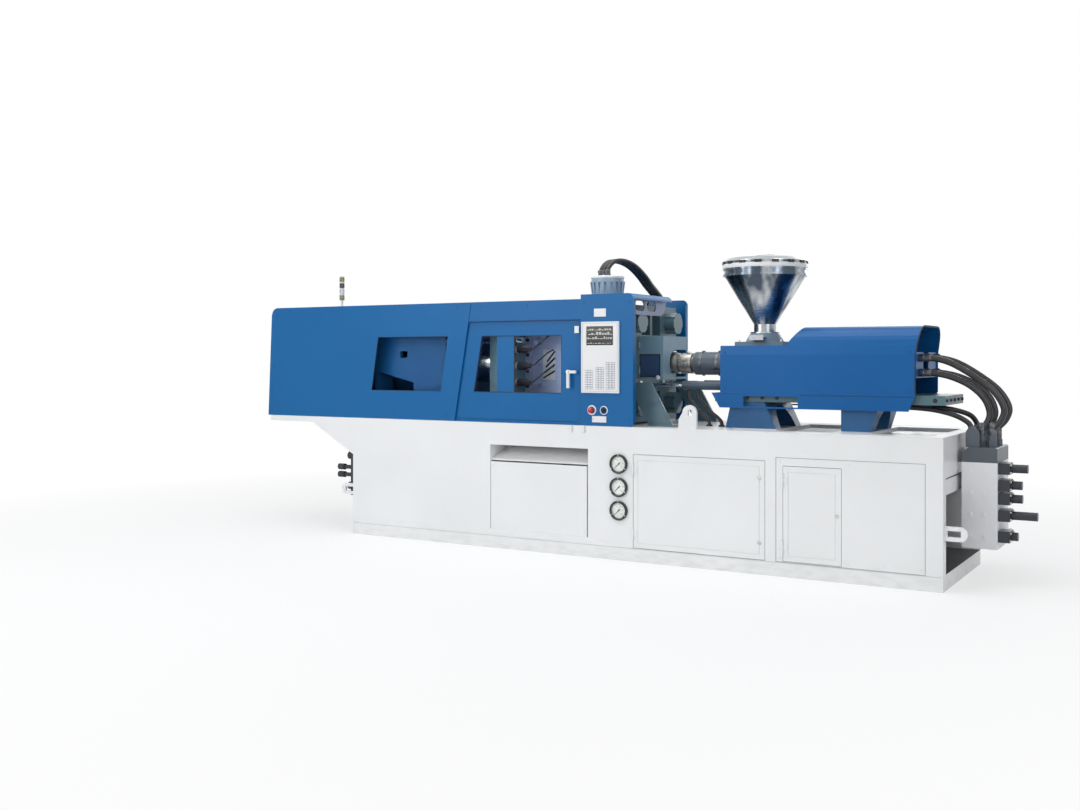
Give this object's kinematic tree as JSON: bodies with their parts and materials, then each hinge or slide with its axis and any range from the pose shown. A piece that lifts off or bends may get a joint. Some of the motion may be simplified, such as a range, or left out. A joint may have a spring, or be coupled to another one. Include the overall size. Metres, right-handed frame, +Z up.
{
  "type": "injection moulding machine",
  "caption": "Horizontal hydraulic injection moulding machine with a guarded clamp, sliding gates, mould, injection unit with hopper, hoses, gauges and a control panel.",
  "frame": {"origin": "middle of the footprint, on the floor", "axes": "+X along the machine to the injection end, +Y to the rear away from the operator, +Z up"},
  "size_m": [5.775, 1.192, 2.073],
  "materials": {
    "base_paint": "semi-gloss off-white",
    "guard_blue": "satin blue",
    "cover_blue": "satin blue",
    "glazing": "clear",
    "platen_green": "satin grey-green",
    "casting_blue": "satin",
    "ground_steel": "ground",
    "mould_steel": "machined",
    "barrel_steel": "heat-darkened",
    "heater_mica": "sheet",
    "drive_iron": "as cast",
    "pump_paint": "satin",
    "hopper_steel": "polished",
    "hopper_foot": "cast",
    "bay_plate": "galvanised",
    "panel_white": "matt",
    "black_plastic": "matt",
    "needle_black": "matt",
    "stop_red": "gloss",
    "tower_plastic": "gloss",
    "drum_paint": "satin",
    "manifold_steel": "zinc plated",
    "valve_paint": "satin black",
    "hose_rubber": "matt"
  },
  "bodies": {
    "base": {"base_frame": "base_paint", "base_covers": "base_paint", "cabinet_plate": "bay_plate", "pump_motor": "pump_paint", "gauge_cases": "black_plastic", "fixed_platen": "platen_green", "tail_platen": "casting_blue", "tie_bars": "ground_steel", "safety_bar": "ground_steel", "main_cylinder": "casting_blue", "mould_fixed_half": "mould_steel", "platen_braces": "platen_green", "front_guard": "guard_blue", "rear_guard": "guard_blue", "clamp_roof": "guard_blue", "platen_cover": "guard_blue", "guard_windows": "glazing", "control_panel": "panel_white", "signal_tower": "tower_plastic", "hose_drum": "drum_paint", "slide_bed": "casting_blue", "bed_supports": "casting_blue", "carriage_rods": "ground_steel", "manifold": "manifold_steel", "hydraulic_valves": "valve_paint", "fixed_hoses": "hose_rubber", "carriage_hoses": "hose_rubber"},
    "side_door": {"side_door": "base_paint"},
    "cabinet_door": {"cabinet_door": "base_paint"},
    "gauge_top": {"gauge_needle_top": "needle_black"},
    "gauge_middle": {"gauge_needle_middle": "needle_black"},
    "gauge_bottom": {"gauge_needle_bottom": "needle_black"},
    "platen": {"moving_platen": "platen_green", "clamp_ram": "ground_steel", "mould_moving_half": "mould_steel"},
    "ejector": {"ejector_plate": "mould_steel"},
    "front_gate": {"front_gate": "guard_blue", "front_gate_window": "glazing"},
    "gate_handle": {"gate_handle": "panel_white"},
    "rear_gate": {"rear_gate": "guard_blue", "rear_gate_window": "glazing"},
    "stop_button": {"stop_button": "stop_red"},
    "key_switch": {"key_switch": "black_plastic"},
    "purge_guard": {"purge_guard": "platen_green"},
    "carriage": {"feed_housing": "platen_green", "barrel": "barrel_steel", "nozzle": "barrel_steel", "heater_bands": "heater_mica", "barrel_cover": "heater_mica", "injection_cylinders": "casting_blue", "carriage_cylinders": "casting_blue", "injection_cover": "cover_blue", "hopper": "hopper_steel", "hopper_lid": "hopper_steel", "hopper_base": "hopper_foot"},
    "screw_drive": {"drive_plate": "drive_iron", "hydraulic_motor": "drive_iron"},
    "screw": {"screw": "barrel_steel"},
    "shutoff": {"hopper_shutoff": "hopper_steel"},
    "flow_knob": {"flow_knob": "black_plastic"}
  },
  "joints": [
    {"name": "platen_slide", "type": "slide", "parent": "base", "child": "platen", "axis": [-1, 0, 0], "range_m": [0, 0.29]},
    {"name": "ejector_slide", "type": "slide", "parent": "platen", "child": "ejector", "axis": [1, 0, 0], "range_m": [0, 0.06]},
    {"name": "front_gate_slide", "type": "slide", "parent": "base", "child": "front_gate", "axis": [-1, 0, 0], "range_m": [0, 0.85]},
    {"name": "gate_handle_turn", "type": "hinge", "parent": "front_gate", "child": "gate_handle", "pos_m": [-0.055, -0.57, 1.268], "axis": [0, 1, 0], "range_deg": [0, 40]},
    {"name": "rear_gate_slide", "type": "slide", "parent": "base", "child": "rear_gate", "axis": [-1, 0, 0], "range_m": [0, 0.85]},
    {"name": "carriage_slide", "type": "slide", "parent": "base", "child": "carriage", "axis": [1, 0, 0], "range_m": [0, 0.3], "deforming": ["carriage_hoses"]},
    {"name": "screw_plunge", "type": "slide", "parent": "carriage", "child": "screw_drive", "axis": [1, 0, 0], "range_m": [0, 0.18]},
    {"name": "screw_spin", "type": "hinge", "parent": "screw_drive", "child": "screw", "pos_m": [1.5, 0, 1.326], "axis": [1, 0, 0], "continuous": true},
    {"name": "shutoff_slide", "type": "slide", "parent": "carriage", "child": "shutoff", "axis": [0, -1, 0], "range_m": [0, 0.08]},
    {"name": "purge_guard_swing", "type": "hinge", "parent": "base", "child": "purge_guard", "pos_m": [0.308, -0.207, 1.36], "axis": [0, 0, -1], "range_deg": [0, 90]},
    {"name": "side_door_hinge", "type": "hinge", "parent": "base", "child": "side_door", "pos_m": [0.437, -0.567, 0.4], "axis": [0, 0, -1], "range_deg": [0, 110]},
    {"name": "cabinet_door_hinge", "type": "hinge", "parent": "base", "child": "cabinet_door", "pos_m": [1.475, -0.567, 0.4], "axis": [0, 0, -1], "range_deg": [0, 110]},
    {"name": "gauge_top_turn", "type": "hinge", "parent": "base", "child": "gauge_top", "pos_m": [0.331, -0.565, 0.65], "axis": [0, 1, 0], "range_deg": [0, 270]},
    {"name": "gauge_middle_turn", "type": "hinge", "parent": "base", "child": "gauge_middle", "pos_m": [0.331, -0.565, 0.493], "axis": [0, 1, 0], "range_deg": [0, 270]},
    {"name": "gauge_bottom_turn", "type": "hinge", "parent": "base", "child": "gauge_bottom", "pos_m": [0.331, -0.565, 0.336], "axis": [0, 1, 0], "range_deg": [0, 270]},
    {"name": "stop_press", "type": "slide", "parent": "base", "child": "stop_button", "axis": [0, 1, 0], "range_m": [0, 0.005], "stiffness_N_per_m": 600},
    {"name": "key_turn", "type": "hinge", "parent": "base", "child": "key_switch", "pos_m": [0.217, -0.57, 1.008], "axis": [0, 1, 0], "range_deg": [0, 90]},
    {"name": "flow_knob_turn", "type": "hinge", "parent": "base", "child": "flow_knob", "pos_m": [-2.2, -0.43, 0.44], "axis": [1, 0, 0], "range_deg": [0, 270]}
  ]
}
